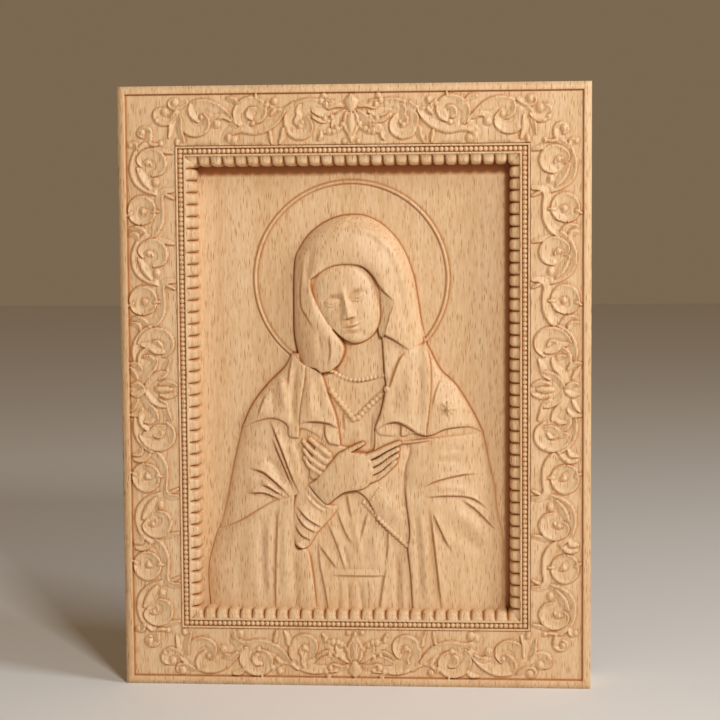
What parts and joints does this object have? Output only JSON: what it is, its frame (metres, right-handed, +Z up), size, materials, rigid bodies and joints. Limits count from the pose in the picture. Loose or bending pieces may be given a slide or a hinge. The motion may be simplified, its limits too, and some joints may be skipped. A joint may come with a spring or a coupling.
{
  "type": "carved wooden icon",
  "caption": "Upright wooden panel with a scroll border, pearl band and fluted moulding around a sunk field with a haloed, veiled half figure whose hands are crossed.",
  "frame": {"origin": "middle of the underside", "axes": "+Z up, -Y is the way the carved front faces, +X to the viewer's right"},
  "size_m": [0.15, 0.02, 0.1925],
  "materials": {
    "beech": "smoothly carved bare beech, light tan, with short brown flecks along an upright grain and darker cuts"
  },
  "bodies": {
    "root": {"icon_panel": "beech"}
  },
  "joints": []
}
